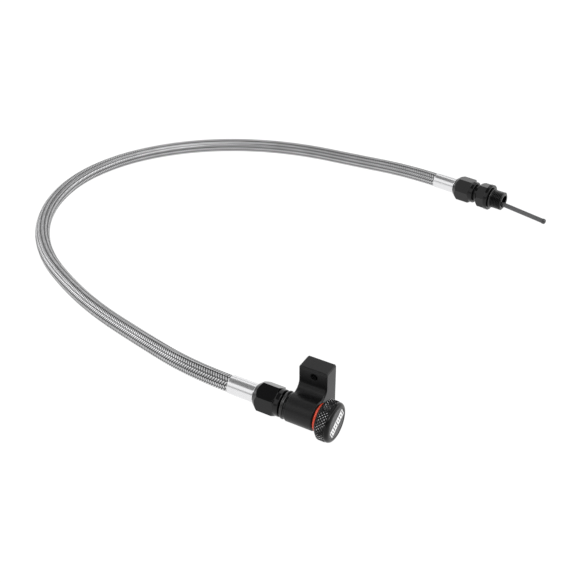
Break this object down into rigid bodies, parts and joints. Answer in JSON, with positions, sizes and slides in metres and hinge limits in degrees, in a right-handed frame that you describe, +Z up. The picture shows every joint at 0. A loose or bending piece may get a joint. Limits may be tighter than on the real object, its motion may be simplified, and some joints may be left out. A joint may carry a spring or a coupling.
{
  "type": "flexible dipstick and tube",
  "caption": "Flexible engine dipstick: a braided hose between a bolt-on bracket and a threaded adapter, with a knurled pull cap on the stick inside it.",
  "frame": {"origin": "middle of the bracket end's footprint on the floor (hose collar to cap front, cap's front rim to the bracket's mounting face)", "axes": "+X along the bracket's barrel towards the cap, +Y towards the bracket's mounting face, +Z up"},
  "size_m": [0.4052, 0.3631, 0.0398],
  "materials": {
    "wire_braid": "bright woven stainless wire",
    "liner": "smooth fluoropolymer tube",
    "polished_collar": "polished bright",
    "stem_metal": "turned",
    "wire": "drawn wire",
    "black_anodised": "black anodised, satin",
    "grey_badge": "dark grey anodised, fine spun",
    "white_print": "white enamel",
    "red_seal": "orange-red silicone, satin",
    "black_seal": "black nitrile, glossy",
    "screw_steel": "blackened",
    "stick_steel": "dark grey wire rope, lightly oiled"
  },
  "bodies": {
    "hose_assembly": {"bracket_body": "black_anodised", "port_adapter": "black_anodised", "port_seal": "black_seal", "near_crimp_collar": "polished_collar", "near_hose_stem": "stem_metal", "near_nut_wire": "wire", "hose_braid": "wire_braid", "hose_liner": "liner", "far_crimp_collar": "polished_collar", "far_hose_stem": "stem_metal", "far_nut_wire": "wire", "far_adapter": "black_anodised", "far_seal": "black_seal", "stick_core": "stick_steel"},
    "near_nut": {"near_swivel_nut": "black_anodised"},
    "far_nut": {"far_swivel_nut": "black_anodised"},
    "stick": {"stick_upper": "stick_steel", "stick_ferrule": "stem_metal"},
    "cap": {"cap_plug": "black_anodised", "plug_seal": "black_seal", "swivel_set_screw": "screw_steel", "face_seal": "red_seal", "cap_knob": "black_anodised", "cap_badge": "grey_badge", "badge_bar": "white_print"},
    "stick_end": {"stick_tip": "stick_steel", "tip_ferrule": "stick_steel"}
  },
  "joints": [
    {"name": "cap_pull", "type": "slide", "parent": "hose_assembly", "child": "stick", "axis": [1, 0, 0], "range_m": [0, 0.04], "deforming": ["stick_core"]},
    {"name": "cap_turn", "type": "hinge", "parent": "stick", "child": "cap", "pos_m": [0.0261, -0.0052, 0.0139], "axis": [1, 0, 0], "continuous": true},
    {"name": "tip_draw", "type": "slide", "parent": "hose_assembly", "child": "stick_end", "axis": [-0.9842, 0.1633, 0.069], "range_m": [0, 0.04]},
    {"name": "near_nut_turn", "type": "hinge", "parent": "hose_assembly", "child": "near_nut", "pos_m": [-0.00905, -0.0052, 0.0139], "axis": [1, 0, 0], "continuous": true},
    {"name": "far_nut_turn", "type": "hinge", "parent": "hose_assembly", "child": "far_nut", "pos_m": [-0.00188, 0.32836, 0.01125], "axis": [0.9924, -0.1232, 0], "continuous": true}
  ],
  "couplings": [
    {"joint": "tip_draw", "follows": "cap_pull", "ratio": 1}
  ]
}
